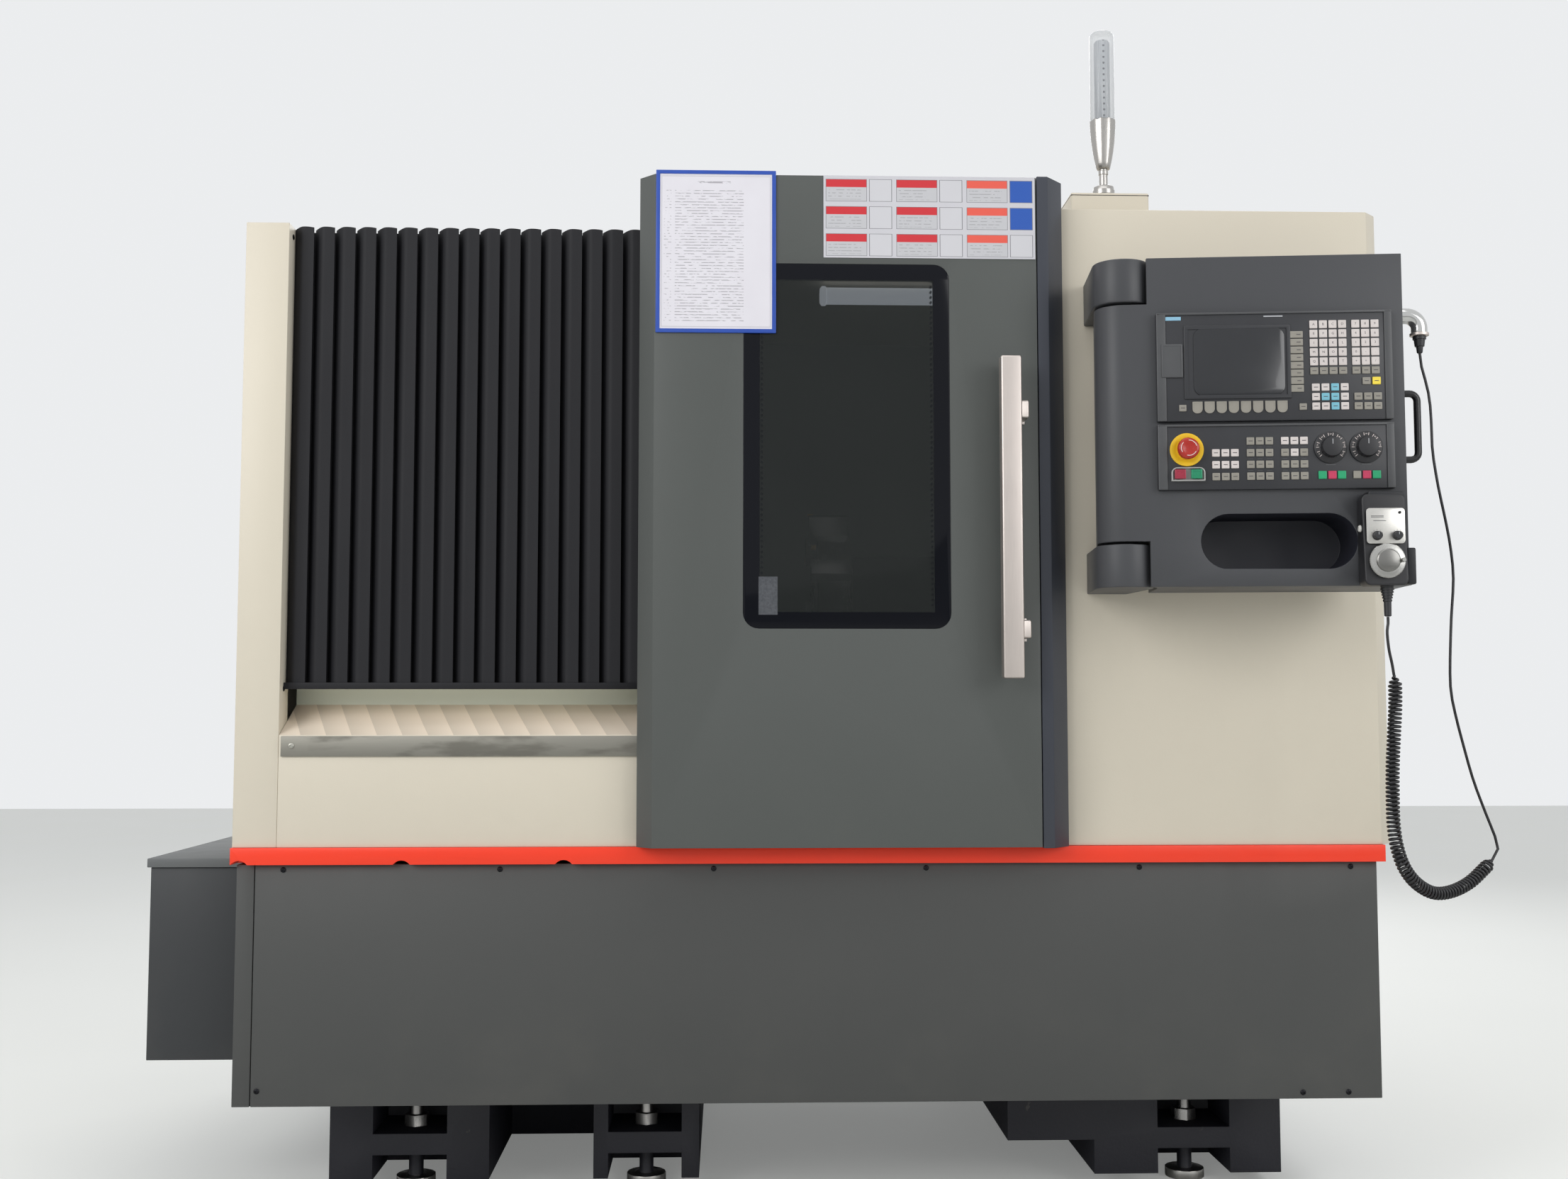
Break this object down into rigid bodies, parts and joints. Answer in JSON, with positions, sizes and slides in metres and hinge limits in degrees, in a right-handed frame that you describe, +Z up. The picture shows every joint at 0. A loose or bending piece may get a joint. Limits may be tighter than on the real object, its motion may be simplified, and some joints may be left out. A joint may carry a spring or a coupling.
{
  "type": "cnc turning lathe",
  "caption": "Slant-bed CNC turning lathe with sliding windowed door, pleated front guard, swing-out control box, hand pendant on a curly cord and signal lamp.",
  "frame": {"origin": "on the floor, under the middle of the machine's bounding box without the pendant's cord", "axes": "+X to the machine's right (spindle axis, away from the chuck), +Y into the machine from the operator, +Z up"},
  "size_m": [2.568, 1.794, 2.3886],
  "materials": {
    "cream_paint": "semi-gloss",
    "door_grey_paint": "fine satin",
    "skirt_grey_paint": "fine satin",
    "control_box_paint": "satin",
    "belt_red_paint": "satin",
    "pleat_charcoal": "matte",
    "casting_navy": "painted casting",
    "stainless_steel": "brushed",
    "ground_steel": "ground",
    "satin_aluminium": "satin",
    "black_plastic": "matte",
    "window_glass": "gloss, dark tint",
    "frame_blue": "satin",
    "plate_white": "gloss",
    "button_red": "gloss",
    "button_green": "gloss",
    "lamp_lens": "clear",
    "cord_rubber": "matte",
    "cabinet_liner": "satin"
  },
  "bodies": {
    "machine": {"slant_bed": "casting_navy", "front_skirt": "skirt_grey_paint", "left_skirt": "skirt_grey_paint", "right_skirt": "skirt_grey_paint", "rear_skirt": "skirt_grey_paint", "red_trim": "belt_red_paint", "left_end_cover": "cream_paint", "rear_panel": "cream_paint", "roof_panel": "cream_paint", "right_front_panel": "cream_paint", "pleated_panel": "pleat_charcoal", "lower_front_panel": "cream_paint", "door_wear_strip": "stainless_steel", "door_track": "stainless_steel", "door_jamb": "door_grey_paint", "chamber_liner": "cabinet_liner", "chip_pan": "cabinet_liner", "headstock": "casting_navy", "electrical_cabinet": "cream_paint", "drive_rack": "stainless_steel", "side_box": "control_box_paint", "side_box_lid": "control_box_paint", "lamp_box": "cream_paint", "lamp_base": "satin_aluminium", "lamp_lens": "lamp_lens", "hinge_cap_top": "control_box_paint", "hinge_cap_bottom": "control_box_paint"},
    "door": {"door_panel": "door_grey_paint", "window_glass": "window_glass", "door_handle": "satin_aluminium", "document_frame": "frame_blue", "instruction_plate": "plate_white"},
    "spindle": {"spindle_and_chuck": "ground_steel"},
    "jaw_1": {"chuck_jaw_1": "ground_steel"},
    "jaw_2": {"chuck_jaw_2": "ground_steel"},
    "jaw_3": {"chuck_jaw_3": "ground_steel"},
    "carriage": {"saddle": "casting_navy"},
    "turret_slide": {"cross_slide": "casting_navy"},
    "turret": {"turret_disc": "ground_steel"},
    "tail_body": {"tailstock": "casting_navy"},
    "quill": {"tailstock_quill": "ground_steel"},
    "operator_box": {"control_box": "control_box_paint", "screen_unit": "black_plastic", "key_unit": "black_plastic", "cable_elbow": "satin_aluminium", "box_handle": "black_plastic", "pendant_body": "black_plastic", "lead_lower": "cord_rubber", "coil_cord": "cord_rubber", "lead_upper": "cord_rubber"},
    "stop_button": {"emergency_stop": "button_red"},
    "stop_key": {"red_button": "button_red"},
    "start_key": {"green_button": "button_green"},
    "speed_override": {"speed_dial": "black_plastic"},
    "feed_override": {"feed_dial": "black_plastic"},
    "handwheel": {"pendant_dial": "satin_aluminium"},
    "axis_selector": {"axis_knob": "black_plastic"},
    "step_selector": {"step_knob": "black_plastic"},
    "enable_switch": {"enable_button": "plate_white"},
    "cabinet_door": {"rear_door": "cream_paint"}
  },
  "joints": [
    {"name": "door_slide", "type": "slide", "parent": "machine", "child": "door", "axis": [-1, 0, 0], "range_m": [0, 0.66]},
    {"name": "spindle_spin", "type": "hinge", "parent": "machine", "child": "spindle", "pos_m": [0.09075, -0.09302, 1.06], "axis": [1, 0, 0], "continuous": true},
    {"name": "jaw_1_slide", "type": "slide", "parent": "spindle", "child": "jaw_1", "axis": [0, 0, 1], "range_m": [-0.004, 0.006]},
    {"name": "jaw_2_slide", "type": "slide", "parent": "spindle", "child": "jaw_2", "axis": [0, -0.866, -0.5], "range_m": [-0.004, 0.006]},
    {"name": "jaw_3_slide", "type": "slide", "parent": "spindle", "child": "jaw_3", "axis": [0, 0.866, -0.5], "range_m": [-0.004, 0.006]},
    {"name": "z_slide", "type": "slide", "parent": "machine", "child": "carriage", "axis": [1, 0, 0], "range_m": [-0.26, 0.02]},
    {"name": "x_slide", "type": "slide", "parent": "carriage", "child": "turret_slide", "axis": [0, 0.7071, 0.7071], "range_m": [-0.08, 0.02]},
    {"name": "turret_index", "type": "hinge", "parent": "turret_slide", "child": "turret", "pos_m": [0.13075, 0.08376, 1.23678], "axis": [1, 0, 0], "continuous": true},
    {"name": "tailstock_slide", "type": "slide", "parent": "machine", "child": "tail_body", "axis": [1, 0, 0], "range_m": [-0.14, 0]},
    {"name": "quill_slide", "type": "slide", "parent": "tail_body", "child": "quill", "axis": [1, 0, 0], "range_m": [-0.08, 0]},
    {"name": "panel_swing", "type": "hinge", "parent": "machine", "child": "operator_box", "pos_m": [0.65675, -0.72102, 1.5], "axis": [0, 0, -1], "range_deg": [-6, 84]},
    {"name": "estop_press", "type": "slide", "parent": "operator_box", "child": "stop_button", "axis": [0.1045, 0.9945, 0], "range_m": [0, 0.005], "stiffness_N_per_m": 800},
    {"name": "red_press", "type": "slide", "parent": "operator_box", "child": "stop_key", "axis": [0.1045, 0.9945, 0], "range_m": [0, 0.003], "stiffness_N_per_m": 400},
    {"name": "green_press", "type": "slide", "parent": "operator_box", "child": "start_key", "axis": [0.1045, 0.9945, 0], "range_m": [0, 0.003], "stiffness_N_per_m": 400},
    {"name": "speed_turn", "type": "hinge", "parent": "operator_box", "child": "speed_override", "pos_m": [1.01005, -0.81798, 1.4392], "axis": [-0.1045, -0.9945, 0], "range_deg": [-135, 135]},
    {"name": "feed_turn", "type": "hinge", "parent": "operator_box", "child": "feed_override", "pos_m": [1.07251, -0.82454, 1.4392], "axis": [-0.1045, -0.9945, 0], "range_deg": [-135, 135]},
    {"name": "dial_turn", "type": "hinge", "parent": "operator_box", "child": "handwheel", "pos_m": [1.08757, -0.86685, 1.2305], "axis": [-0.1045, -0.9945, 0], "continuous": true},
    {"name": "axis_turn", "type": "hinge", "parent": "operator_box", "child": "axis_selector", "pos_m": [1.07195, -0.86521, 1.275], "axis": [-0.1045, -0.9945, 0], "range_deg": [-60, 60]},
    {"name": "step_turn", "type": "hinge", "parent": "operator_box", "child": "step_selector", "pos_m": [1.10676, -0.86887, 1.275], "axis": [-0.1045, -0.9945, 0], "range_deg": [-60, 60]},
    {"name": "enable_press", "type": "slide", "parent": "operator_box", "child": "enable_switch", "axis": [0.9945, -0.1045, 0], "range_m": [0, 0.002], "stiffness_N_per_m": 400},
    {"name": "rear_door_swing", "type": "hinge", "parent": "machine", "child": "cabinet_door", "pos_m": [1.21925, 0.86448, 1.3], "axis": [0, 0, -1], "range_deg": [0, 110]}
  ],
  "couplings": [
    {"joint": "jaw_2_slide", "follows": "jaw_1_slide", "ratio": 1},
    {"joint": "jaw_3_slide", "follows": "jaw_1_slide", "ratio": 1}
  ]
}
